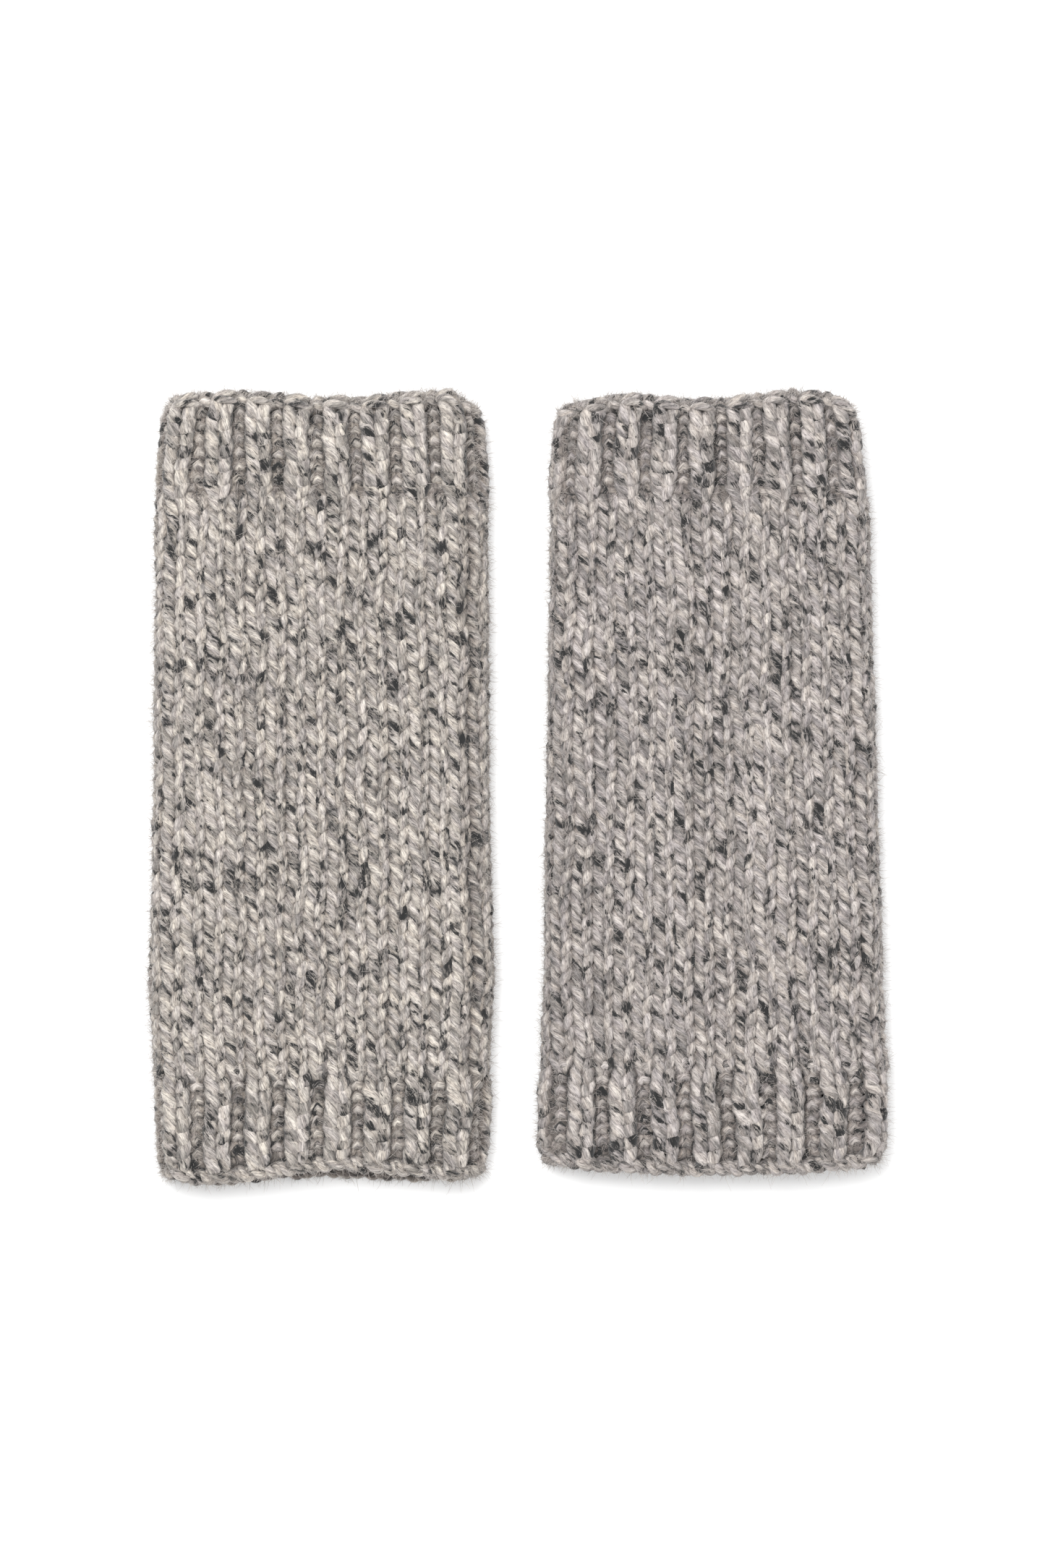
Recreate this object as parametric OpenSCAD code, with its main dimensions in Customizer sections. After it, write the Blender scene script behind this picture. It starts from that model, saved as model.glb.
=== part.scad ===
// A pair of fingerless gloves. Each is one plain knitted tube of thick tweed wool, lying flat:
// ribbing at both ends, smooth knitting between, a sewn seam down one side.
// +X runs from the left glove to the right one, +Y to the finger ends, +Z up.
// The origin is on the surface that the pair lies on, under the middle of its outline.

/* [Pair] */
// Clear space between the two gloves, between their widest points
pair_gap = 12.4; // [6:0.2:60]
// How much further from the top the right glove's finger edge lies
right_drop = 0.4; // [0:0.2:10]
// How far the right glove's finger end leans towards the left glove
right_lean = 1.6; // [0:0.2:5]

/* [Knitting] */
// Thickness of the knitted fabric
fabric_t = 5; // [3:0.5:6]
// Space between the two layers of the flattened tube
inner_gap = 5.6; // [5:0.2:12]
// Depth of the cast-on edge and of the bind-off edge
edge_l = 3.6; // [2:0.2:6]
// Length of the ribbing at each end, past its edge
rib_l = 25.4; // [15:0.2:45]
// Distance from an end over which the corners are rounded
corner_l = 6; // [5:1:20]
// Distance from the arm edge to the middle of the forearm
forearm_l = 54; // [45:1:70]
// Distance from the finger edge down to the wrist
wrist_l = 105; // [90:1:120]

/* [Left glove] */
// Length from the cast-on edge to the bind-off edge
left_length = 224; // [210:1:260]
// Width at the cast-on edge
left_arm_edge_w = 93.6; // [80:0.2:110]
// Width just inside the rounded corners of the arm end
left_arm_w = 95.2; // [80:0.2:110]
// Width where the arm ribbing meets the smooth knitting
left_arm_rib_w = 96.8; // [80:0.2:110]
// Width over the forearm
left_forearm_w = 99.6; // [80:0.2:115]
// Width halfway along
left_middle_w = 97; // [80:0.2:110]
// Width where the smooth knitting meets the finger ribbing
left_finger_rib_w = 96.2; // [80:0.2:110]
// Width just inside the rounded corners of the finger end
left_finger_w = 92.9; // [75:0.2:110]
// Width at the bind-off edge
left_finger_edge_w = 89.4; // [75:0.2:110]

/* [Right glove] */
// Length from the cast-on edge to the bind-off edge
right_length = 221.4; // [210:0.2:260]
// Width at the cast-on edge
right_arm_edge_w = 96.4; // [80:0.2:110]
// Width just inside the rounded corners of the arm end
right_arm_w = 100.6; // [80:0.2:110]
// Width where the arm ribbing meets the smooth knitting
right_arm_rib_w = 100.4; // [80:0.2:110]
// Width over the forearm
right_forearm_w = 98; // [80:0.2:115]
// Width halfway along
right_middle_w = 95.4; // [80:0.2:110]
// Width where the smooth knitting meets the finger ribbing
right_finger_rib_w = 91.8; // [80:0.2:110]
// Width just inside the rounded corners of the finger end
right_finger_w = 87.8; // [75:0.2:110]
// Width at the bind-off edge
right_finger_edge_w = 84; // [75:0.2:110]

/* [Seam and yarn ends] */
// Diameter of the seam ridge inside the fold
seam_d = 3.2; // [2:0.2:4]
// Diameter of the yarn
yarn_d = 2.8; // [2:0.2:4]
// Length of yarn woven in at each end of a glove
tail_l = 45; // [20:1:60]

/* [Hidden] */

LEFT = 0;
RIGHT = 1;
length_of = [left_length, right_length];
lean_of = [0, right_lean];

// Height of the flattened tube, and the running clearance between two bodies at the wrist
tube_h = 2 * fabric_t + inner_gap;
wrist_clear = 0.3;
// Clearance that keeps the seam and the yarn ends off the knitting around them
inside_clear = 0.1;
// Straight pieces in each round side fold, and sides of a seam or a yarn end
fold_steps = 8;
strand_sides = 12;

// Distance along a glove, from its arm edge, against its width
widths_of = [
    widths(left_length, [
        left_arm_edge_w, left_arm_w, left_arm_rib_w, left_forearm_w,
        left_middle_w, left_finger_rib_w, left_finger_w, left_finger_edge_w
    ]),
    widths(right_length, [
        right_arm_edge_w, right_arm_w, right_arm_rib_w, right_forearm_w,
        right_middle_w, right_finger_rib_w, right_finger_w, right_finger_edge_w
    ])
];
function stations(length) = [
    0, corner_l, edge_l + rib_l, forearm_l,
    length / 2, length - edge_l - rib_l, length - corner_l, length
];
function widths(length, w) = [for (i = [0:7]) [stations(length)[i], w[i]]];
function width(glove, u) = lookup(u, widths_of[glove]);

// A glove's middle line: how far it has leant towards -X at a distance u from the arm edge
function lean(glove, u) = lean_of[glove] * u / length_of[glove];
// How far a glove reaches to each side of the foot of its middle line
left_reach = max([for (s = widths_of[LEFT]) s[1] / 2 + lean(LEFT, s[0])]);
left_inner_reach = max([for (s = widths_of[LEFT]) s[1] / 2 - lean(LEFT, s[0])]);
right_reach = max([for (s = widths_of[RIGHT]) s[1] / 2 - lean(RIGHT, s[0])]);
right_inner_reach = max([for (s = widths_of[RIGHT]) s[1] / 2 + lean(RIGHT, s[0])]);
pair_w = left_reach + left_inner_reach + pair_gap + right_inner_reach + right_reach;
foot_of = [left_reach - pair_w / 2, pair_w / 2 - right_reach];
arm_edge_of = [-left_length / 2, left_length / 2 - right_drop - right_length];
function middle_x(glove, u) = foot_of[glove] - lean(glove, u);

// Where one zone of a glove ends and the next begins
function wrist(glove) = length_of[glove] - wrist_l;
function finger_rib_start(glove) = length_of[glove] - edge_l - rib_l;
function finger_rib_end(glove) = length_of[glove] - edge_l;

// Section of a flattened tube, w wide and h high, whose lowest point is at z = base
function flat_section(w, h, base) = [
    for (side = [1, -1], i = [0:fold_steps])
        let (a = side * (180 * i / fold_steps - 90))
        [side * (w / 2 - h / 2 + h / 2 * cos(a)), base + h / 2 + h / 2 * sin(a)]
];
// Round section of diameter d about the point (x, z)
function round_section(x, z, d) = [
    for (i = [0:strand_sides - 1]) [x + d / 2 * cos(360 * i / strand_sides), z + d / 2 * sin(360 * i / strand_sides)]
];
// Places between u0 and u1 where the outline changes, with both ends
function cuts(glove, u0, u1) = concat(
    [u0], [for (s = widths_of[glove]) if (s[0] > u0 + 0.5 && s[0] < u1 - 0.5) s[0]], [u1]
);

// Points of the sections placed at distances u along a glove
function placed(glove, u, sections) = [
    for (k = [0:len(u) - 1], p = sections[k]) [middle_x(glove, u[k]) + p[0], arm_edge_of[glove] + u[k], p[1]]
];
// Faces of the skin through rings of n points each, the first point being number start
function skin(start, rings, n) = [
    for (k = [0:rings - 2], i = [0:n - 1])
        let (a = start + k * n + i, b = start + k * n + (i + 1) % n)
        each [[a, a + n, b], [b, a + n, b + n]]
];
function reversed(faces) = [for (f = faces) [for (i = [len(f) - 1:-1:0]) f[i]]];
// Flat faces between the ring that starts at point a and the one that starts at point b
function rim(a, b, n) = [
    for (i = [0:n - 1])
        let (j = (i + 1) % n)
        each [[a + i, a + j, b + i], [b + i, a + j, b + j]]
];

// Solid strand through sections
module strand(glove, u, sections) {
    n = len(sections[0]);
    far = (len(u) - 1) * n;
    ends = [[for (i = [0:n - 1]) i], [for (i = [n - 1:-1:0]) far + i]];
    polyhedron(placed(glove, u, sections), concat(skin(0, len(u), n), ends));
}

// One zone of a glove's tube, from u0 to u1 along it: a skin outside, one inside, and a rim at each end
module tube_zone(glove, u0, u1) {
    u = cuts(glove, u0, u1);
    outer = [for (s = u) flat_section(width(glove, s), tube_h, 0)];
    inner = [for (s = u) flat_section(width(glove, s) - 2 * fabric_t, inner_gap, fabric_t)];
    n = len(outer[0]);
    count = len(u) * n;
    polyhedron(
        concat(placed(glove, u, outer), placed(glove, u, inner)),
        concat(
            skin(0, len(u), n), reversed(skin(count, len(u), n)),
            rim(0, count, n), reversed(rim(count - n, 2 * count - n, n))
        )
    );
}

// The seam's ridge, in the hollow of the +X side fold
function seam_x(glove, u) = width(glove, u) / 2 - fabric_t - inside_clear - seam_d / 2;
module seam(glove, u0, u1) {
    u = cuts(glove, u0, u1);
    strand(glove, u, [for (s = u) round_section(seam_x(glove, s), tube_h / 2, seam_d)]);
}

// A yarn end that lies beside the seam, on the lower layer
module yarn_end(glove, u0, u1) {
    u = cuts(glove, u0, u1);
    tail_z = fabric_t + inside_clear + yarn_d / 2;
    strand(glove, u, [for (s = u) round_section(seam_x(glove, s) - seam_d - yarn_d / 2, tail_z, yarn_d)]);
}

module cast_on_edge(glove) color([0.52, 0.49, 0.47]) tube_zone(glove, 0, edge_l);
module arm_rib(glove) color([0.62, 0.59, 0.57]) tube_zone(glove, edge_l, edge_l + rib_l);
module forearm_tube(glove) color([0.66, 0.64, 0.61])
    tube_zone(glove, edge_l + rib_l, wrist(glove) - wrist_clear / 2);
module hand_tube(glove) color([0.69, 0.66, 0.64])
    tube_zone(glove, wrist(glove) + wrist_clear / 2, finger_rib_start(glove));
module finger_rib(glove) color([0.62, 0.59, 0.57])
    tube_zone(glove, finger_rib_start(glove), finger_rib_end(glove));
module bind_off_edge(glove) color([0.56, 0.53, 0.51])
    tube_zone(glove, finger_rib_end(glove), length_of[glove]);
module forearm_seam(glove) color([0.5, 0.47, 0.45]) seam(glove, 1, wrist(glove) - wrist_clear / 2);
module hand_seam(glove) color([0.5, 0.47, 0.45]) seam(glove, wrist(glove) + wrist_clear / 2, length_of[glove] - 1);
module cast_on_tail(glove) color([0.58, 0.55, 0.52]) yarn_end(glove, edge_l, edge_l + tail_l);
module bind_off_tail(glove) color([0.58, 0.55, 0.52])
    yarn_end(glove, finger_rib_end(glove) - tail_l, finger_rib_end(glove));

cast_on_edge(LEFT);  // left_cast_on_edge
arm_rib(LEFT);  // left_arm_rib
forearm_tube(LEFT);  // left_forearm_tube
forearm_seam(LEFT);  // left_forearm_seam
cast_on_tail(LEFT);  // left_cast_on_tail
hand_tube(LEFT);  // left_hand_tube
finger_rib(LEFT);  // left_finger_rib
bind_off_edge(LEFT);  // left_bind_off_edge
hand_seam(LEFT);  // left_hand_seam
bind_off_tail(LEFT);  // left_bind_off_tail
cast_on_edge(RIGHT);  // right_cast_on_edge
arm_rib(RIGHT);  // right_arm_rib
forearm_tube(RIGHT);  // right_forearm_tube
forearm_seam(RIGHT);  // right_forearm_seam
cast_on_tail(RIGHT);  // right_cast_on_tail
hand_tube(RIGHT);  // right_hand_tube
finger_rib(RIGHT);  // right_finger_rib
bind_off_edge(RIGHT);  // right_bind_off_edge
hand_seam(RIGHT);  // right_hand_seam
bind_off_tail(RIGHT);  // right_bind_off_tail
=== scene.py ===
"""A pair of hand-knitted fingerless gloves in thick tweed wool, lying flat on a pale floor.

Every stitch is a modelled loop of plied yarn. Each row of stitches is one closed ring of yarn that runs
round the flattened tube of its glove, and its loops cross in front of and behind those of the rows
beside it. Where strands cross they run into one another, as soft yarn pressed together does.
"""

import math

import bpy
import numpy as np
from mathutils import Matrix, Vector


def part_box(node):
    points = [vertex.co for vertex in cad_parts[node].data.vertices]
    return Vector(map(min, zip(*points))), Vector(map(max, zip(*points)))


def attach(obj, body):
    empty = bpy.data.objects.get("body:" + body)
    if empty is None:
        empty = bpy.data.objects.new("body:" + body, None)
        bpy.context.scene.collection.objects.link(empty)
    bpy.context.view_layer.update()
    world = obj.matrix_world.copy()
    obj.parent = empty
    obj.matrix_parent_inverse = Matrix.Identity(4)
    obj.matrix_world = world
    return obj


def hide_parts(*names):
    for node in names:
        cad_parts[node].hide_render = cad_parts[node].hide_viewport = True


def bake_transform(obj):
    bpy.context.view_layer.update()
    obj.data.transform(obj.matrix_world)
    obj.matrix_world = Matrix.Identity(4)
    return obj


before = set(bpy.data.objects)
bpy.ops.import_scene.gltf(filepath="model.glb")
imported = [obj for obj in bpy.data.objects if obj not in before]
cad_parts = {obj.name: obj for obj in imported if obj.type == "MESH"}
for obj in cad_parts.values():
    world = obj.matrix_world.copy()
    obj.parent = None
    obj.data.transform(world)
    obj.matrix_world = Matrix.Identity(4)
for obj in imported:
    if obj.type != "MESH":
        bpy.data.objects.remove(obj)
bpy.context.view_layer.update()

MM = 0.001

# The knitting: stitches round a glove, rows in the ribbing at each end and in the smooth part
STITCHES = 34
RIB_ROWS = 7
BODY_ROWS = 40
ROWS = RIB_ROWS + BODY_ROWS + RIB_ROWS
FABRIC = 5.0 * MM

# The yarn: its radius, the length of one turn of its three plies, how far the plies bulge as a part of
# the radius, its flattening against the wall and along it, and how uneven it is spun, over how many rings
YARN_R = 1.42 * MM
PLY_TURN = 13 * MM
PLIES = 3
PLY_BULGE = 0.045
FLATTENED = 0.94
SPREAD_OUT = 1.04
UNEVEN = 0.055
UNEVEN_RINGS = 20

# The yarn's mesh: sides of its section, and rings of vertices to a stitch
SIDES = 12
RINGS = 16

# How many rings of yarn one line of the bake's layout holds, and the margin between its lines
LAYOUT_RINGS = STITCHES * RINGS // 2
LAYOUT_MARGIN = 0.06

# The loop: reach of heads and feet in rows, how far legs spread, how far legs lie from the wall's
# mid-surface, how far a left leg stands out beside a right one, and how much further along its yarn
# each row starts
LOOP_REACH = 0.97
LOOP_SPREAD = 1.6
LOOP_DEPTH = 1.15 * MM
LEFT_LEG_PROUD = 0.04 * MM
ROW_START = 0.613

# The ribbing: how much wider the knit columns are, how far they stand out and the purl ones lie back,
# how close a knit column's two legs lie, how much of the relief goes into the painted shade that darkens
# the recessed yarn, and how much the slack yarn of a knit column spreads
RIB_WIDEN = 0.55
RIB_RELIEF = 1.2 * MM
RIB_SETBACK = 0.4 * MM
RIB_CLOSE = 0.055
RIB_SHADE = 0.25
RIB_YARN = 1.3

# The ribbing's loops spread less, it fades over a few rows into the smooth knitting, and a loop turns
# from knit to purl within this part of half a column
RIB_TIGHTER = 0.4
RIB_FADE = 1.6
RIB_FADE_PAST = 0.4
TURN_OVER = 0.28

# The seam's gutter, the shallow ones between some columns of stitches, and their width in columns
SEAM_GUTTER = 1.5 * MM
COLUMN_GUTTER = 0.95 * MM
GUTTER_WIDTH = 0.27

# Uneven knitting: how far stitches wander in columns and in rows, over coarse and fine cells, how much
# calmer the ribbing is, how far a stitch stands out or in, and the cells round the tube and along it
COLUMN_WANDER = (0.10, 0.045)
ROW_WANDER = (0.10, 0.05)
RIB_CALM = 0.5
OUT_WANDER = 0.16 * MM
COARSE_CELLS = (12, 16)
FINE_CELLS = (34, 54)

# The top layer rises a little to its middle, and the ends' uneven outline fades along the glove
CROWN = 0.9 * MM
EDGE_FADE = 9 * MM

# Loose fibres: their radius, how many times denser they are on the outline, and for each set on half a
# glove how many there are, how long they are and how many rings of vertices each one has
HAIR_R = 0.07 * MM
EDGE_HAIRS = 6
HAIR_SETS = {"down": (24000, 1.1 * MM, 2), "halo": (14000, 2.0 * MM, 3)}

# Nothing of the gloves lies lower than the floor: yarn that would is pressed flat within this height,
# and loose fibres are kept at least this far above the floor
PRESSED = 0.6 * MM
HAIR_FLOOR = 0.01 * MM

# Each glove: the seed of its unevenness, the colour of its light fibre, where the seam lies (in columns),
# and how far its ends run out or in, as (place across the glove from -1 to 1, millimetres)
GLOVES = {
    "left": {
        "seed": 11,
        "light_fibre": (0.643, 0.598, 0.538),
        "seam_turn": 1.17,
        "finger_edge": [
            (-1, -1.2), (-0.85, 0.6), (-0.5, 1.2), (-0.1, -1.3),
            (0.25, -1.4), (0.85, 1.9), (1, -3.0),
        ],
        "arm_edge": [
            (-1, 1.0), (-0.8, -2.0), (-0.3, 0.8), (0.1, 3.0),
            (0.6, 2.0), (0.85, 0.6), (1, 2.0),
        ],
        "under_arm": [
            (-1, 1.0), (-0.8, -1.6), (-0.3, 0.0), (0.1, 0.4),
            (0.6, -0.6), (0.85, -0.6), (1, 1.5),
        ],
    },
    "right": {
        "seed": 29,
        "light_fibre": (0.578, 0.535, 0.500),
        "seam_turn": -1.6,
        "finger_edge": [
            (-1, -2.0), (-0.85, -0.8), (-0.55, 1.2), (-0.1, -1.2),
            (0.2, -0.6), (0.6, 1.6), (0.9, 0.2), (1, -3.5),
        ],
        "arm_edge": [
            (-1, 2.4), (-0.8, 0.6), (-0.2, -1.0), (0.2, -0.8),
            (0.6, 0.4), (0.88, 1.2), (1, 2.6),
        ],
        "under_arm": [
            (-1, 2.4), (-0.8, 0.8), (-0.2, 0.2), (0.2, 0.2),
            (0.6, 1.0), (0.88, 1.6), (1, 2.6),
        ],
    },
}


def ease(t):
    """A smooth step from 0 to 1."""
    return t * t * (3 - 2 * t)


# ---------------------------------------------------------------- the glove's tube

class Tube:
    """The flattened tube of one glove, read from its CAD nodes."""

    ZONES = ("cast_on_edge", "arm_rib", "forearm_tube", "hand_tube", "finger_rib", "bind_off_edge")

    def __init__(self, side, facts):
        self.side = side
        self.facts = facts
        points = np.vstack([self.points(zone) for zone in self.ZONES])
        self.y = np.unique(np.round(points[:, 1], 5))
        rings = [points[np.abs(points[:, 1] - y) < 0.02 * MM] for y in self.y]
        low = np.array([ring[:, 0].min() for ring in rings])
        high = np.array([ring[:, 0].max() for ring in rings])
        self.middle = (low + high) / 2
        self.width = high - low
        self.height = points[:, 2].max()
        self.rng = np.random.default_rng(facts["seed"])
        self.row_y = self.row_places()
        cells = [COARSE_CELLS] * 2 + [FINE_CELLS] * 3
        self.wobbles = [self.wobble(around, along) for around, along in cells]
        self.gutters = COLUMN_GUTTER * self.rng.uniform(0, 1, STITCHES) ** 2
        self.gutters[0] = SEAM_GUTTER

    def points(self, zone):
        """The vertices of one of the glove's CAD nodes."""
        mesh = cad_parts[f"{self.side}_{zone}"].data
        out = np.empty(len(mesh.vertices) * 3)
        mesh.vertices.foreach_get("co", out)
        return out.reshape(-1, 3)

    def row_places(self):
        """Y of the boundaries between rows, from the arm edge up."""
        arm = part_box(f"{self.side}_arm_rib")
        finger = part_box(f"{self.side}_finger_rib")
        lower_rib = np.linspace(arm[0].y, arm[1].y, RIB_ROWS + 1)
        body = np.linspace(arm[1].y, finger[0].y, BODY_ROWS + 1)
        upper_rib = np.linspace(finger[0].y, finger[1].y, RIB_ROWS + 1)
        return np.concatenate([lower_rib, body[1:], upper_rib[1:]])

    def y_of(self, row):
        """Y at a row number, which may lie between rows or just past the ends."""
        below = np.minimum(row, 0) * (self.row_y[1] - self.row_y[0])
        above = np.maximum(row - ROWS, 0) * (self.row_y[-1] - self.row_y[-2])
        return np.interp(row, np.arange(ROWS + 1), self.row_y) + below + above

    def wobble(self, around, along):
        """A grid of random numbers over the tube, for read to make a smooth field of."""
        return self.rng.normal(0, 1, (along + 3, around))

    def read(self, grid, column, row):
        """A grid's value at places in the knitting, smooth between cells and closed round the tube."""
        rows, columns = grid.shape
        x = (column % STITCHES) / STITCHES * columns
        y = np.clip((row + 1) / (ROWS + 2), 0, 0.9999) * (rows - 1)
        x0 = np.floor(x).astype(int)
        y0 = np.floor(y).astype(int)
        fx = ease(x - x0)
        fy = ease(y - y0)
        x1 = (x0 + 1) % columns
        x0 = x0 % columns
        low = grid[y0, x0] * (1 - fx) + grid[y0, x1] * fx
        high = grid[y0 + 1, x0] * (1 - fx) + grid[y0 + 1, x1] * fx
        return low * (1 - fy) + high * fy

    def ribbing(self, row):
        """1 in the ribbing, 0 in the smooth knitting, and between where one fades into the other."""
        into = np.maximum(RIB_ROWS + RIB_FADE_PAST - row, row - (ROWS - RIB_ROWS) + RIB_FADE_PAST)
        return ease(np.clip(into / RIB_FADE, 0, 1))

    def gutter(self, column):
        """How far the wall is drawn in between two columns of stitches."""
        boundary = np.round(column)
        away = column - boundary
        return self.gutters[boundary.astype(int) % STITCHES] * np.exp(-((away / GUTTER_WIDTH) ** 2))

    def edge_shift(self, x, y, half, upper):
        """How far an end of the tube runs out or in at x, fading along the glove.

        upper is 1 on the top layer and 0 on the one below."""
        across = np.clip(x / half, -1, 1)

        def curve(key):
            knots = np.array(self.facts[key])
            return np.interp(across, knots[:, 0], knots[:, 1]) * MM

        finger = curve("finger_edge") * np.exp(-np.abs(self.row_y[-1] - y) / EDGE_FADE)
        arm = curve("arm_edge") * upper + curve("under_arm") * (1 - upper)
        return finger + arm * np.exp(-np.abs(y - self.row_y[0]) / EDGE_FADE)

    def place(self, column, row, out):
        """Points at a column and a row of the knitting, standing `out` from the wall's mid-surface.

        Returns the points, the wall's outward direction there, and how far they really stand out."""
        ribbing = self.ribbing(row)
        fields = [self.read(grid, column, row) for grid in self.wobbles]
        coarse_u, coarse_v, fine_u, fine_v, fine_out = fields
        calm = 1 - RIB_CALM * ribbing
        column = column + COLUMN_WANDER[0] * calm * coarse_u + COLUMN_WANDER[1] * fine_u
        row = row + ROW_WANDER[0] * coarse_v + ROW_WANDER[1] * fine_v
        out = out + OUT_WANDER * fine_out - self.gutter(column)
        column = column + ribbing * RIB_WIDEN / math.pi * np.sin(math.pi * (column - 0.5))
        relief = np.cos(math.pi * (column - 0.5))
        out = out + ribbing * (RIB_RELIEF * relief - RIB_SETBACK)

        y = self.y_of(row)
        width = np.interp(y, self.y, self.width) - FABRIC
        middle = np.interp(y, self.y, self.middle)
        bend_r = (self.height - FABRIC) / 2
        flat = width - 2 * bend_r
        quarter = math.pi * bend_r / 2
        girth = 2 * flat + 4 * quarter
        arc = ((column + self.facts["seam_turn"]) / STITCHES % 1) * girth

        on_top = (arc >= quarter) & (arc < quarter + flat)
        on_left = (arc >= quarter + flat) & (arc < 3 * quarter + flat)
        below = (arc >= 3 * quarter + flat) & (arc < 3 * quarter + 2 * flat)
        angle = np.where(arc < quarter, arc / bend_r, (arc - girth) / bend_r)
        angle = np.where(on_top, math.pi / 2, angle)
        angle = np.where(on_left, math.pi / 2 + (arc - quarter - flat) / bend_r, angle)
        angle = np.where(below, 1.5 * math.pi, angle)
        centre = np.where(on_left, -flat / 2, flat / 2)
        centre = np.where(on_top, flat / 2 - (arc - quarter), centre)
        centre = np.where(below, -flat / 2 + (arc - 3 * quarter - flat), centre)
        x = centre + (bend_r + out) * np.cos(angle)
        z = self.height / 2 + (bend_r + out) * np.sin(angle)
        crown = np.clip(1 - (x / (width / 2)) ** 2, 0, 1)
        z = z + CROWN * crown * np.clip(np.sin(angle), 0, 1)
        y = y + self.edge_shift(x, y, width / 2, 0.5 + 0.5 * np.sin(angle))
        normal = np.stack([np.cos(angle), np.zeros_like(angle), np.sin(angle)], axis=-1)
        return np.stack([middle + x, y, z], axis=-1), normal, out


# ---------------------------------------------------------------- strands of yarn

def unit(v):
    """Vectors brought to length 1."""
    return v / np.maximum(np.linalg.norm(v, axis=-1, keepdims=True), 1e-12)


def strand_skin(path, facing, radius, proud, start, closed):
    """Skin of plied yarn along path. Gives its vertices, each one's place in the yarn, and its shade.

    path and facing are (n, 3), radius is (n,), proud is how far the path stands out of the wall as the
    painted shade reads it, and start is how far along the yarn the path begins. Shade holds how deep a
    vertex lies between the plies, and how far it stands out of the wall in millimetres: the material
    paints shade from both, darker between the plies and darker the deeper the vertex lies."""
    if closed:
        ahead = np.roll(path, -1, axis=0) - np.roll(path, 1, axis=0)
    else:
        ahead = np.gradient(path, axis=0)
    tangent = unit(ahead)
    up = unit(facing - (facing * tangent).sum(-1, keepdims=True) * tangent)
    side = np.cross(tangent, up)
    steps = np.linalg.norm(np.diff(path, axis=0), axis=1)
    along = np.concatenate([[0], np.cumsum(steps)])
    turns = along / PLY_TURN
    if closed:
        whole = along[-1] + np.linalg.norm(path[0] - path[-1])
        turns = turns * (round(whole / PLY_TURN) / (whole / PLY_TURN))
    spin = -2 * math.pi * turns
    spot = 2 * math.pi * np.arange(SIDES) / SIDES
    lobes = 1 + PLY_BULGE * np.cos(PLIES * spot)
    angle = spin[:, None] + spot[None, :]
    reach = radius[:, None] * lobes[None, :]
    offset = (reach * np.cos(angle) * FLATTENED)[..., None] * up[:, None, :]
    offset = offset + (reach * np.sin(angle) * SPREAD_OUT)[..., None] * side[:, None, :]
    skin = path[:, None, :] + offset
    low = skin[..., 2] < PRESSED
    skin[..., 2] = np.where(low, PRESSED * np.exp(np.minimum(skin[..., 2] / PRESSED, 1) - 1), skin[..., 2])
    place = np.empty(skin.shape)
    place[..., 0] = np.cos(spot)[None, :]
    place[..., 1] = np.sin(spot)[None, :]
    place[..., 2] = (start + along)[:, None] / MM
    # The shade attribute is for painted shade: the grooves between the plies, and height out of the wall
    shade = np.zeros(skin.shape)
    shade[..., 0] = 0.5 - 0.5 * np.cos(PLIES * spot)[None, :]
    shade[..., 1] = (np.broadcast_to(proud, len(path))[:, None] + reach * np.cos(angle)) / MM
    return skin, place, shade


def skin_faces(n, closed, first):
    """Quads of a skin with n rings, whose vertices start at number first."""
    rings = np.arange(n if closed else n - 1)
    j = np.arange(SIDES)
    a = rings[:, None] * SIDES + j[None, :]
    b = rings[:, None] * SIDES + (j[None, :] + 1) % SIDES
    total = n * SIDES
    quads = np.stack([a, b, (b + SIDES) % total, (a + SIDES) % total], axis=-1)
    return quads.reshape(-1, 4) + first


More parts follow.
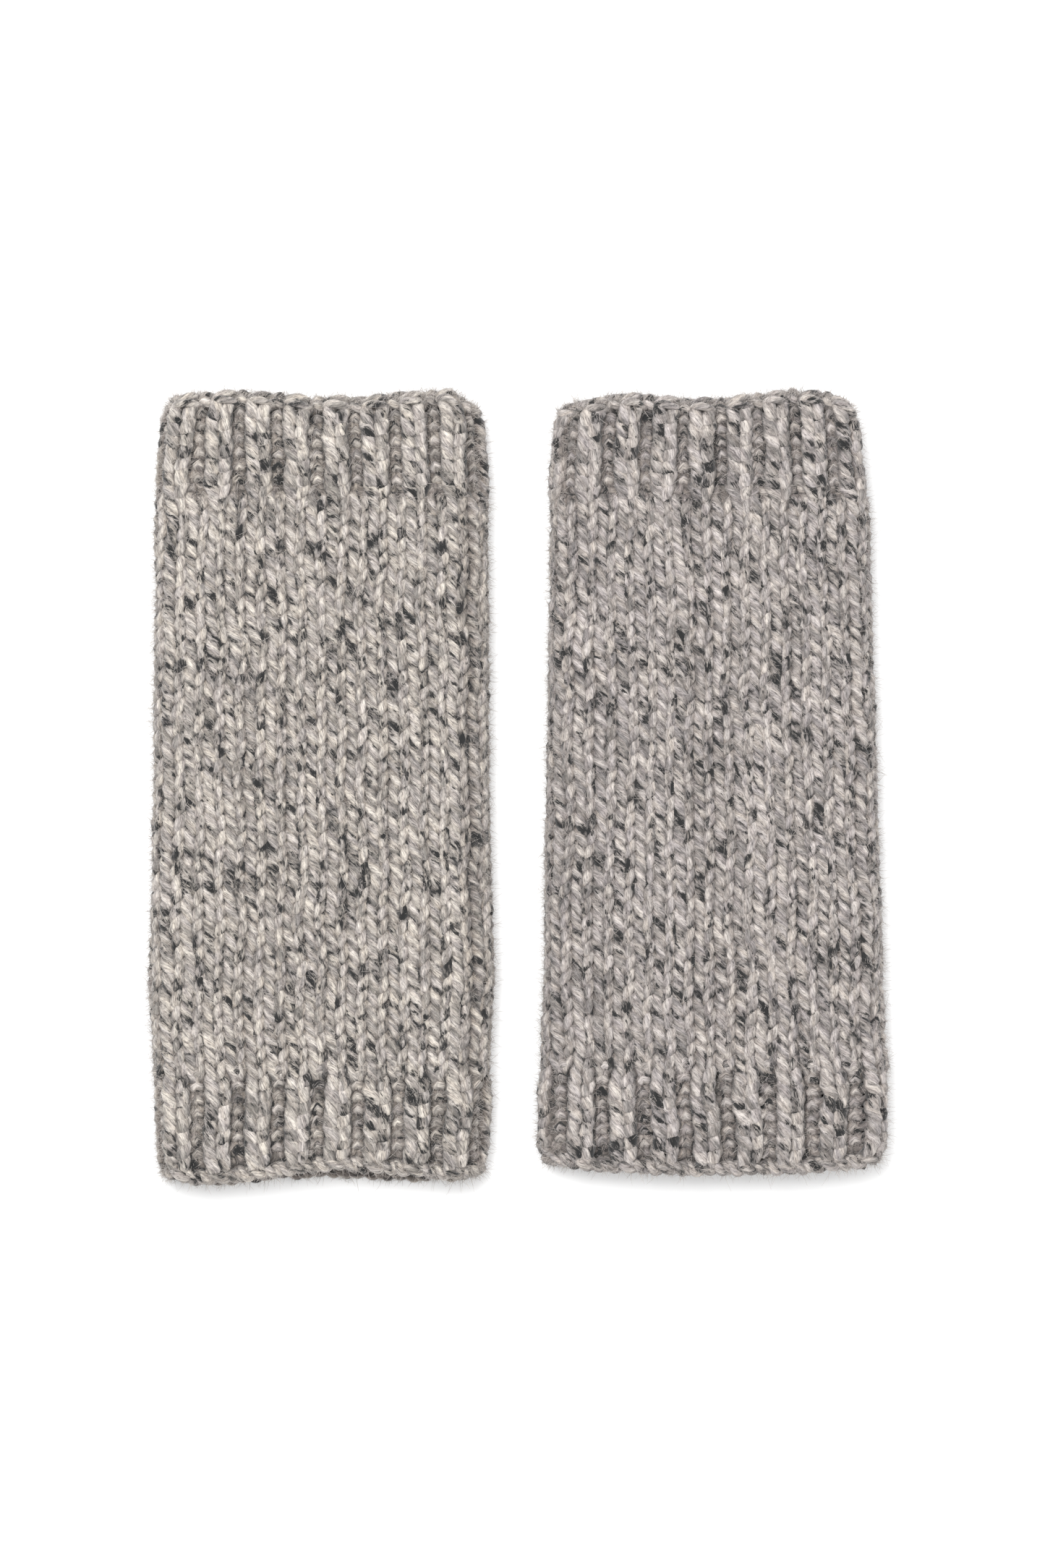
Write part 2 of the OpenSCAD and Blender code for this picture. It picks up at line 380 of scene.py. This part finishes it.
class Strands:
    """Collects strands of yarn and makes one mesh of them."""

    def __init__(self):
        self.skins = []
        self.places = []
        self.shades = []
        self.outward = []
        self.quads = []
        self.caps = []
        self.spots = []
        self.lines = 0
        self.used = LAYOUT_RINGS
        self.count = 0

    def add(self, path, facing, radius, proud=LOOP_DEPTH, start=0.0, closed=False):
        """Adds a strand; an open one gets a flat cap at each end."""
        skin, place, shade = strand_skin(path, facing, radius, proud, start, closed)
        self.outward.append(np.repeat(facing, SIDES, axis=0))
        self.shades.append(shade.reshape(-1, 3))
        self.quads.append(skin_faces(len(path), closed, self.count))
        self.lay_out(len(path) if closed else len(path) - 1)
        if not closed:
            ring = np.arange(SIDES) + self.count
            self.caps.append(ring[::-1])
            self.caps.append(ring + (len(path) - 1) * SIDES)
        self.skins.append(skin.reshape(-1, 3))
        self.places.append(place.reshape(-1, 3))
        self.count += skin.shape[0] * SIDES

    def lay_out(self, rings):
        """Finds room in the bake's layout for a strand: runs of rings on lines, as (line, place on it)."""
        ring = 0
        while ring < rings:
            run = min(rings - ring, LAYOUT_RINGS)
            if self.used + run > LAYOUT_RINGS:
                self.lines += 1
                self.used = 0
            spots = np.empty((run, 2))
            spots[:, 0] = self.lines - 1
            spots[:, 1] = self.used + np.arange(run)
            self.spots.append(spots)
            self.used += run + 2
            ring += run

    def unwrap(self, mesh, caps):
        """Writes the bake's layout: each ring's quads side by side, and all the caps in one corner."""
        spots = np.concatenate(self.spots)
        line = np.repeat(spots[:, 0], SIDES)
        ring = np.repeat(spots[:, 1], SIDES)
        side = np.tile(np.arange(SIDES), len(spots))

        def corner(more_ring, more_side):
            u = (ring + more_ring + 0.5) / (LAYOUT_RINGS + 1)
            v = (line + LAYOUT_MARGIN + (side + more_side) / SIDES * (1 - 2 * LAYOUT_MARGIN)) / self.lines
            return np.stack([u, v], axis=-1)

        sides = np.stack([corner(0, 0), corner(0, 1), corner(1, 1), corner(1, 0)], axis=1).reshape(-1, 2)
        ends = np.full((caps * SIDES, 2), 0.0005)
        layer = mesh.uv_layers.new(name="OFBake")
        layer.data.foreach_set("uv", np.concatenate([sides, ends]).ravel().astype(np.float32))

    def mesh(self, name, material):
        """The piece that all the strands make together."""
        vertices = np.concatenate(self.skins)
        quads = np.concatenate(self.quads)
        caps = np.array(self.caps).reshape(-1, SIDES) if self.caps else np.empty((0, SIDES), int)
        corners = np.concatenate([quads.ravel(), caps.ravel()])
        sizes = np.concatenate([np.full(len(quads), 4), np.full(len(caps), SIDES)])
        starts = np.concatenate([[0], np.cumsum(sizes)[:-1]])
        mesh = bpy.data.meshes.new(name)
        mesh.vertices.add(len(vertices))
        mesh.vertices.foreach_set("co", vertices.ravel())
        mesh.loops.add(len(corners))
        mesh.loops.foreach_set("vertex_index", corners.astype(np.int32))
        mesh.polygons.add(len(sizes))
        mesh.polygons.foreach_set("loop_start", starts.astype(np.int32))
        mesh.polygons.foreach_set("use_smooth", np.ones(len(sizes), bool))
        mesh.update(calc_edges=True)
        self.unwrap(mesh, len(caps))
        place = mesh.attributes.new("yarn", "FLOAT_VECTOR", "POINT")
        place.data.foreach_set("vector", np.concatenate(self.places).ravel().astype(np.float32))
        shade = mesh.attributes.new("shade", "FLOAT_VECTOR", "POINT")
        shade.data.foreach_set("vector", np.concatenate(self.shades).ravel().astype(np.float32))
        mesh.materials.append(material)
        mesh.validate()
        piece = bpy.data.objects.new(name, mesh)
        bpy.context.scene.collection.objects.link(piece)
        return piece


# ---------------------------------------------------------------- stitches

def purl_sign(column, row):
    """1 for a knit stitch, -1 for a purl one; every other column of the ribbing is purl."""
    stitch = np.floor(column).astype(int)
    ribbed = (row < RIB_ROWS) | (row >= ROWS - RIB_ROWS)
    return np.where(ribbed & (stitch % 2 == 1), -1.0, 1.0)


def row_path(tube, row):
    """The ring of yarn of one row of stitches: points, the wall's direction, the height out of the wall
    that its painted shade is read from, slackness.
    """
    t = 2 * math.pi * np.arange(STITCHES * RINGS) / RINGS
    column = t / (2 * math.pi) + 0.5
    turn = t % (2 * math.pi)
    here = purl_sign(column % STITCHES, row)
    before = purl_sign((column - 1) % STITCHES, row)
    after = purl_sign((column + 1) % STITCHES, row)
    # The stitch's middle is at turn 0, and its neighbours begin where turn is pi
    into = (column % 1) * 2 - 1
    near = ease(np.clip((np.abs(into) - (1 - TURN_OVER)) / TURN_OVER, 0, 1)) / 2
    other = np.where(into > 0, after, before)
    face = here * (1 - near) + other * near
    ribbing = tube.ribbing(np.full_like(t, row + 0.5))
    knit = np.clip(face, 0, 1) * ribbing
    spread = LOOP_SPREAD * (1 - RIB_TIGHTER * ribbing)
    sway = column + spread / (2 * math.pi) * np.sin(2 * turn) - RIB_CLOSE * knit * np.sin(turn)
    height = row + 0.5 + LOOP_REACH * np.cos(turn)
    out = -face * LOOP_DEPTH * np.cos(2 * turn)
    out = out + LEFT_LEG_PROUD * np.sin(turn) * face
    points, normal, proud = tube.place(sway, height, out)
    # Painted shade: the colour darkens with only part of the ribbing's relief, and with most of the
    # gutters' draw
    proud = out + RIB_SHADE * (proud - out) - (1 - RIB_SHADE) * tube.gutter(sway)
    slack = 1 + (RIB_YARN - 1) * knit
    return points, normal, proud, slack


def yarn_radius(tube, n):
    """Thickness along a stretch of yarn: it is spun a little thick and thin."""
    knots = tube.rng.normal(0, UNEVEN, max(n // UNEVEN_RINGS, 4))
    x = np.linspace(0, len(knots), n, endpoint=False)
    i = np.floor(x).astype(int)
    f = ease(x - i)
    return YARN_R * (1 + knots[i] * (1 - f) + knots[(i + 1) % len(knots)] * f)


def rows_piece(tube, name, first, last, material):
    """A band of rows. Each row's yarn starts further along, so that its flecks don't repeat."""
    strands = Strands()
    for row in range(first, last):
        points, normal, proud, slack = row_path(tube, row)
        radius = yarn_radius(tube, len(points)) * slack
        strands.add(points, normal, radius, proud, start=row * ROW_START, closed=True)
    return strands.mesh(name, material), strands


def edge_frame(tube, column, row, tilt):
    """A point on an end's rim, with the directions across the rim and out of it."""
    points, normal, _ = tube.place(column, row, np.zeros_like(column))
    forward = np.zeros_like(normal)
    forward[:, 1] = 1
    across = math.cos(tilt) * forward - math.sin(tilt) * normal
    outward = math.sin(tilt) * forward + math.cos(tilt) * normal
    return points, across, outward


def bind_off_piece(tube, name, material):
    """A chain of links that lie along the finger edge, one to a stitch."""
    strands = Strands()
    chain_w = 4.6 * MM
    chain_row = ROWS + 0.42
    half_link = 0.57
    link_bow = 1.3
    link_depth = 1.1 * MM
    lean = 0.75
    thinner = 0.82
    stands_out = 0.9 * MM
    uneven_along = 0.05
    uneven_across = 0.18 * MM
    link_start = 0.131
    for link in range(STITCHES):
        t = np.linspace(-math.pi, math.pi, RINGS * 2 + 1)
        along = link + 0.5 - half_link * np.cos(t) + tube.rng.normal(0, uneven_along)
        sideways = chain_w / (2 * math.pi) * (t + link_bow * np.sin(2 * t))
        depth = -link_depth * np.cos(2 * t)
        base = np.full_like(along, chain_row)
        points, across, outward = edge_frame(tube, along, base, lean)
        sideways = sideways + tube.rng.normal(0, uneven_across)
        points = points + sideways[:, None] * across + depth[:, None] * outward
        radius = yarn_radius(tube, len(points)) * thinner
        strands.add(points, outward, radius, depth + stands_out, start=link * link_start)
    return strands.mesh(name, material), strands


def cast_on_piece(tube, name, material):
    """The cast-on: two strands along the arm edge, twisted together by one turn at each stitch."""
    strands = Strands()
    rope_row = -0.45
    lean = -0.6
    wrap_out, wrap_across = 1.45 * MM, 1.35 * MM
    counter_out, counter_across = 1.15 * MM, 1.05 * MM
    t = 2 * math.pi * np.arange(STITCHES * RINGS) / RINGS
    column = t / (2 * math.pi)
    base = np.full_like(t, rope_row)
    points, across, outward = edge_frame(tube, column, base, lean)
    wrap = (wrap_out * np.cos(t))[:, None] * outward + (wrap_across * np.sin(t))[:, None] * across
    strands.add(points + wrap, outward, yarn_radius(tube, len(t)) * 0.9, closed=True)
    counter = (counter_out * np.cos(t + math.pi))[:, None] * outward
    counter = counter + (counter_across * np.sin(t + math.pi))[:, None] * across
    strands.add(points + counter, outward, yarn_radius(tube, len(t)) * 0.85, start=2.1, closed=True)
    return strands.mesh(name, material), strands


def seam_piece(tube, name, material):
    """The seam's two strands, twisted together down the hollow of the side fold."""
    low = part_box(f"{tube.side}_forearm_seam")[0]
    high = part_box(f"{tube.side}_hand_seam")[1]
    strand_r = 0.85 * MM
    twist_r = 0.75 * MM
    pitch = 8.3 * MM
    inset = 1.7 * MM
    y = np.arange(low.y, high.y, 0.7 * MM)
    x = np.interp(y, tube.y, tube.middle + tube.width / 2) - FABRIC - inset
    strands = Strands()
    for start in (0, math.pi):
        turn = start + 2 * math.pi * y / pitch
        z = tube.height / 2 + twist_r * np.sin(turn)
        path = np.stack([x + twist_r * np.cos(turn), y, z], axis=-1)
        facing = np.stack([np.cos(turn), np.zeros_like(y), np.sin(turn)], axis=-1)
        strands.add(path, facing, np.full(len(y), strand_r), start=start)
    return strands.mesh(name, material)


def tail_piece(name, node, material):
    """A yarn end that lies beside the seam inside the glove, waving a little as a woven-in end does."""
    low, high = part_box(node)
    wave_l = 8.2 * MM
    sway = 0.5 * MM
    rise = 0.35 * MM
    thinner = 0.88
    y = np.arange(low.y, high.y, 0.9 * MM)
    wave = 2 * math.pi * y / wave_l
    x = (low.x + high.x) / 2 + sway * np.sin(wave / 2)
    z = (low.z + high.z) / 2 + rise * np.sin(wave)
    path = np.stack([x, y, z], axis=-1)
    facing = np.tile([0.0, 0.0, 1.0], (len(y), 1))
    radius = np.full(len(y), YARN_R * thinner)
    strands = Strands()
    strands.add(path, facing, radius)
    return strands.mesh(name, material)


# ---------------------------------------------------------------- loose fibres

def fuzz_piece(tube, name, strand_sets, hairs, hair_length, rings, material):
    """Short curled fibres that stand out of the yarn: thin three-sided hairs, each one a closed spike.

    They are rooted just under the yarn's skin, on the side that faces away from the wall."""
    rooted = 0.2 * MM
    curl = 0.45
    facing_out = 0.25
    from_yarn, from_wall, stray = 0.55, 0.35, 0.8
    shortest, longest = 0.4, 1.9
    thinning = 0.7
    skin = np.concatenate([part for strands in strand_sets for part in strands.skins])
    outward = np.concatenate([part for strands in strand_sets for part in strands.outward])
    centre = skin.reshape(-1, SIDES, 3).mean(axis=1).repeat(SIDES, axis=0)
    radial = unit(skin - centre)
    open_air = np.flatnonzero((radial * outward).sum(-1) > facing_out)
    density = 1 + EDGE_HAIRS * (1 - np.abs(outward[open_air, 2]))
    chosen = tube.rng.choice(open_air, hairs, replace=False, p=density / density.sum())
    root = skin[chosen] - rooted * radial[chosen]
    wild = unit(tube.rng.normal(0, 1, (hairs, 3)))
    heading = unit(from_yarn * radial[chosen] + from_wall * outward[chosen] + stray * wild)
    bend = unit(tube.rng.normal(0, 1, (hairs, 3)))
    length = hair_length * np.clip(tube.rng.gamma(2.2, 0.5, hairs), shortest, longest)
    side = unit(np.cross(heading, bend))
    other = np.cross(heading, side)
    steps = np.linspace(0, 1, rings)
    taper = 1 - thinning * steps
    spine = root[:, None, :] + (length[:, None] * steps)[..., None] * heading[:, None, :]
    spine = spine + (curl * length[:, None] * steps**2)[..., None] * bend[:, None, :]
    spot = 2 * math.pi * np.arange(3) / 3
    ring = np.cos(spot)[None, :, None] * side[:, None, :] + np.sin(spot)[None, :, None] * other[:, None, :]
    points = spine[:, :, None, :] + (HAIR_R * taper)[None, :, None, None] * ring[:, None, :, :]
    points[..., 2] = np.maximum(points[..., 2], HAIR_FLOOR)
    corners = 3 * rings
    first = (np.arange(hairs) * corners)[:, None]
    step, j = np.meshgrid(np.arange(rings - 1), np.arange(3), indexing="ij")
    a = (step * 3 + j).ravel()
    b = (step * 3 + (j + 1) % 3).ravel()
    quads = np.stack([a, b, b + 3, a + 3], axis=-1)
    quads = (first[:, :, None] + quads[None]).reshape(-1, 4)
    tip = corners - 3
    caps = (first[:, :, None] + np.array([[2, 1, 0], [tip, tip + 1, tip + 2]])[None]).reshape(-1, 3)
    mesh = bpy.data.meshes.new(name)
    mesh.from_pydata(points.reshape(-1, 3).tolist(), [], quads.tolist() + caps.tolist())
    mesh.polygons.foreach_set("use_smooth", np.ones(len(mesh.polygons), bool))
    mesh.materials.append(material)
    piece = bpy.data.objects.new(name, mesh)
    bpy.context.scene.collection.objects.link(piece)
    return piece


# ---------------------------------------------------------------- materials

def tweed(name, light, dark, fleck):
    """Heathered tweed yarn: streaks of light and dark fibre along the plies, with dark flecks spun in.

    Its patterns follow the attribute yarn: a place round the yarn, and millimetres along it. Its colour
    also holds painted shade, read from the attribute shade: darker between the plies and where the yarn
    lies deep in the knitting."""
    material = bpy.data.materials.new(name)
    material.use_nodes = True
    nodes = material.node_tree.nodes
    links = material.node_tree.links
    shader = nodes["Principled BSDF"]
    shader.inputs["Roughness"].default_value = 0.93
    shader.inputs["Specular IOR Level"].default_value = 0.18
    shader.inputs["Sheen Weight"].default_value = 0.25
    shader.inputs["Sheen Roughness"].default_value = 0.55

    yarn = nodes.new("ShaderNodeAttribute")
    yarn.attribute_name = "yarn"

    def stretched(across, along):
        """The place in the yarn, scaled across it and along it."""
        scale = nodes.new("ShaderNodeVectorMath")
        scale.operation = "MULTIPLY"
        scale.inputs[1].default_value = (across, across, along)
        links.new(yarn.outputs["Vector"], scale.inputs[0])
        return scale.outputs["Vector"]

    def noise(across, along, detail, roughness=0.6):
        node = nodes.new("ShaderNodeTexNoise")
        node.inputs["Scale"].default_value = 1.0
        node.inputs["Detail"].default_value = detail
        node.inputs["Roughness"].default_value = roughness
        links.new(stretched(across, along), node.inputs["Vector"])
        return node.outputs["Fac"]

    def ramp(source, stops):
        node = nodes.new("ShaderNodeValToRGB")
        node.color_ramp.elements[0].position = stops[0][0]
        node.color_ramp.elements[0].color = (*stops[0][1], 1)
        node.color_ramp.elements[1].position = stops[-1][0]
        node.color_ramp.elements[1].color = (*stops[-1][1], 1)
        for position, colour in stops[1:-1]:
            node.color_ramp.elements.new(position).color = (*colour, 1)
        links.new(source, node.inputs["Fac"])
        return node.outputs["Color"]

    def mix(kind, factor, a, b):
        node = nodes.new("ShaderNodeMix")
        node.data_type = "RGBA"
        node.blend_type = kind
        for value, socket in ((factor, node.inputs[0]), (a, node.inputs[6]), (b, node.inputs[7])):
            if isinstance(value, bpy.types.NodeSocket):
                links.new(value, socket)
            elif isinstance(value, tuple):
                socket.default_value = (*value, 1)
            else:
                socket.default_value = value
        return node.outputs[2]

    shade = nodes.new("ShaderNodeAttribute")
    shade.attribute_name = "shade"
    parts = nodes.new("ShaderNodeSeparateXYZ")
    links.new(shade.outputs["Vector"], parts.inputs["Vector"])

    fibre = noise(4.2, 0.8, 4, 0.68)
    heather = noise(0.7, 0.2, 3)
    tint = noise(0.5, 0.07, 1)
    fleck_field = nodes.new("ShaderNodeMath")
    fleck_field.operation = "MULTIPLY_ADD"
    fleck_field.inputs[1].default_value = 0.55
    links.new(fibre, fleck_field.inputs[0])
    links.new(noise(0.34, 0.17, 3, 0.6), fleck_field.inputs[2])
    streak = ramp(fibre, [(0.34, dark), (0.60, light)])
    grey_cloud = (0.36, (0.44, 0.44, 0.445))
    between = (0.48, (0.76, 0.75, 0.76))
    pale_cloud = (0.61, (1.08, 1.07, 1.06))
    cloudy = ramp(heather, [grey_cloud, between, pale_cloud])
    cool = (0.36, (0.985, 0.98, 1.01))
    plain = (0.5, (1.0, 1.0, 1.0))
    warmer = (0.64, (1.01, 1.0, 0.98))
    warm = ramp(tint, [cool, plain, warmer])
    # Painted shade between the plies: the grooves of the yarn are darker
    painted_ply_shade = ramp(parts.outputs["X"], [(0.35, (1, 1, 1)), (1.0, (0.84, 0.82, 0.81))])
    # Painted shade in the recesses: the deeper the yarn lies below the face of the knitting, the darker
    height = nodes.new("ShaderNodeMapRange")
    height.inputs["From Min"].default_value = -1.0
    height.inputs["From Max"].default_value = 2.6
    links.new(parts.outputs["Y"], height.inputs["Value"])
    deep = (0.1, (0.25, 0.24, 0.24))
    halfway = (0.55, (0.54, 0.52, 0.51))
    outermost = (0.85, (1, 1, 1))
    painted_hollow_shade = ramp(height.outputs["Result"], [deep, halfway, outermost])
    colour = mix("MULTIPLY", 1.0, mix("MULTIPLY", 1.0, streak, cloudy), warm)
    colour = mix("MULTIPLY", 1.0, colour, painted_ply_shade)
    colour = mix("MULTIPLY", 1.0, colour, painted_hollow_shade)
    spots = ramp(fleck_field.outputs[0], [(0.828, (0, 0, 0)), (0.90, (1, 1, 1))])
    colour = mix("MIX", spots, colour, fleck)
    links.new(colour, shader.inputs["Base Color"])

    bump = nodes.new("ShaderNodeBump")
    bump.inputs["Strength"].default_value = 0.8
    bump.inputs["Distance"].default_value = 0.25 * MM
    links.new(fibre, bump.inputs["Height"])
    links.new(bump.outputs["Normal"], shader.inputs["Normal"])
    return material


def plain_material(name, colour, roughness):
    """A material of one colour."""
    material = bpy.data.materials.new(name)
    material.use_nodes = True
    shader = material.node_tree.nodes["Principled BSDF"]
    shader.inputs["Base Color"].default_value = (*colour, 1)
    shader.inputs["Roughness"].default_value = roughness
    return material


def fibre_material(name, colour):
    """Loose fibre: matt, with little gloss."""
    material = plain_material(name, colour, 0.8)
    shader = material.node_tree.nodes["Principled BSDF"]
    shader.inputs["Specular IOR Level"].default_value = 0.25
    return material


DARK_FIBRE = (0.16, 0.147, 0.14)
FLECK = (0.016, 0.016, 0.0162)
LOOSE_FIBRE = fibre_material("loose_fibre", (0.50, 0.46, 0.43))

# ---------------------------------------------------------------- the gloves

def build_glove(side):
    """All the pieces of one glove. The two bands of rows beside the wrist are left unattached to either
    body.
    """
    tube = Tube(side, GLOVES[side])
    wool = tweed(f"tweed_wool_{side}", GLOVES[side]["light_fibre"], DARK_FIBRE, FLECK)
    wrist_y = (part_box(f"{side}_forearm_tube")[1].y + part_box(f"{side}_hand_tube")[0].y) / 2
    wrist_row = int(round(np.interp(wrist_y, tube.row_y, np.arange(ROWS + 1))))
    forearm_mid = (RIB_ROWS + wrist_row) // 2
    hand_mid = (ROWS - RIB_ROWS + wrist_row) // 2
    forearm = f"{side}_forearm"
    hand = f"{side}_hand"
    bands = [
        ("arm_rib_stitches", 0, RIB_ROWS, "arm_rib", forearm),
        ("forearm_stitches", RIB_ROWS, forearm_mid, "forearm_tube", forearm),
        ("wrist_stitches", forearm_mid, wrist_row, "forearm_tube", None),
        ("lower_hand_stitches", wrist_row, hand_mid, "hand_tube", None),
        ("hand_stitches", hand_mid, ROWS - RIB_ROWS, "hand_tube", hand),
        ("finger_rib_stitches", ROWS - RIB_ROWS, ROWS, "finger_rib", hand),
    ]
    yarns = {forearm: [], hand: []}
    for name, first, last, node, body in bands:
        piece, strands = rows_piece(tube, f"{side}_{name}", first, last, wool)
        yarns[forearm if last <= wrist_row else hand].append(strands)
        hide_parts(f"{side}_{node}")
        if body:
            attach(piece, body)
        else:
            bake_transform(piece)
    chain, strands = bind_off_piece(tube, f"{side}_bind_off_chain", wool)
    yarns[hand].append(strands)
    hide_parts(f"{side}_bind_off_edge")
    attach(chain, hand)
    rope, strands = cast_on_piece(tube, f"{side}_cast_on_rope", wool)
    yarns[forearm].append(strands)
    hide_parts(f"{side}_cast_on_edge")
    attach(rope, forearm)
    seam = seam_piece(tube, f"{side}_seam_yarn", wool)
    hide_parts(f"{side}_forearm_seam", f"{side}_hand_seam")
    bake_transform(seam)
    for node, body in (("cast_on_tail", forearm), ("bind_off_tail", hand)):
        tail = tail_piece(f"{side}_{node}_yarn", f"{side}_{node}", wool)
        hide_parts(f"{side}_{node}")
        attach(tail, body)
    for body in (forearm, hand):
        for kind, (hairs, hair_length, rings) in HAIR_SETS.items():
            fuzz = fuzz_piece(tube, f"{body}_{kind}", yarns[body], hairs, hair_length, rings, LOOSE_FIBRE)
            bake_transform(fuzz)


for side in GLOVES:
    build_glove(side)

# ---------------------------------------------------------------- floor, light and camera

def floor():
    """A plain pale floor that the gloves lie on."""
    half = 1.5
    corners = [(-half, -half, 0), (half, -half, 0), (half, half, 0), (-half, half, 0)]
    mesh = bpy.data.meshes.new("floor")
    mesh.from_pydata(corners, [], [(0, 1, 2, 3)])
    mesh.materials.append(plain_material("pale_floor", (0.92, 0.92, 0.92), 0.9))
    plane = bpy.data.objects.new("floor", mesh)
    bpy.context.scene.collection.objects.link(plane)


def area_light(name, place, size, power):
    """A round soft light that points at the middle of the pair."""
    data = bpy.data.lights.new(name, "AREA")
    data.shape = "DISK"
    data.size = size
    data.energy = power
    lamp = bpy.data.objects.new(name, data)
    lamp.location = place
    direction = -lamp.location
    lamp.rotation_euler = direction.to_track_quat("-Z", "Y").to_euler()
    bpy.context.scene.collection.objects.link(lamp)


def camera():
    """Straight above the pair, far off, with a long lens that takes in frame_h from top to bottom."""
    height = 2.0
    frame_h = 0.4505
    off_middle = (1.1 * MM, 1.0 * MM)
    data = bpy.data.cameras.new("camera")
    data.sensor_fit = "VERTICAL"
    data.sensor_height = 24
    data.lens = data.sensor_height * height / frame_h
    data.clip_end = 20
    cam = bpy.data.objects.new("camera", data)
    cam.location = (*off_middle, height)
    bpy.context.scene.collection.objects.link(cam)
    bpy.context.scene.camera = cam


floor()
area_light("key", place=(-0.3, 0.5, 1.3), size=1.0, power=21)
area_light("fill", place=(0.5, -0.3, 1.4), size=1.4, power=9)
world = bpy.data.worlds.new("studio")
world.use_nodes = True
world.node_tree.nodes["Background"].inputs["Color"].default_value = (1, 1, 1, 1)
world.node_tree.nodes["Background"].inputs["Strength"].default_value = 0.62
bpy.context.scene.world = world
bpy.context.scene.view_settings.view_transform = "Standard"
camera()
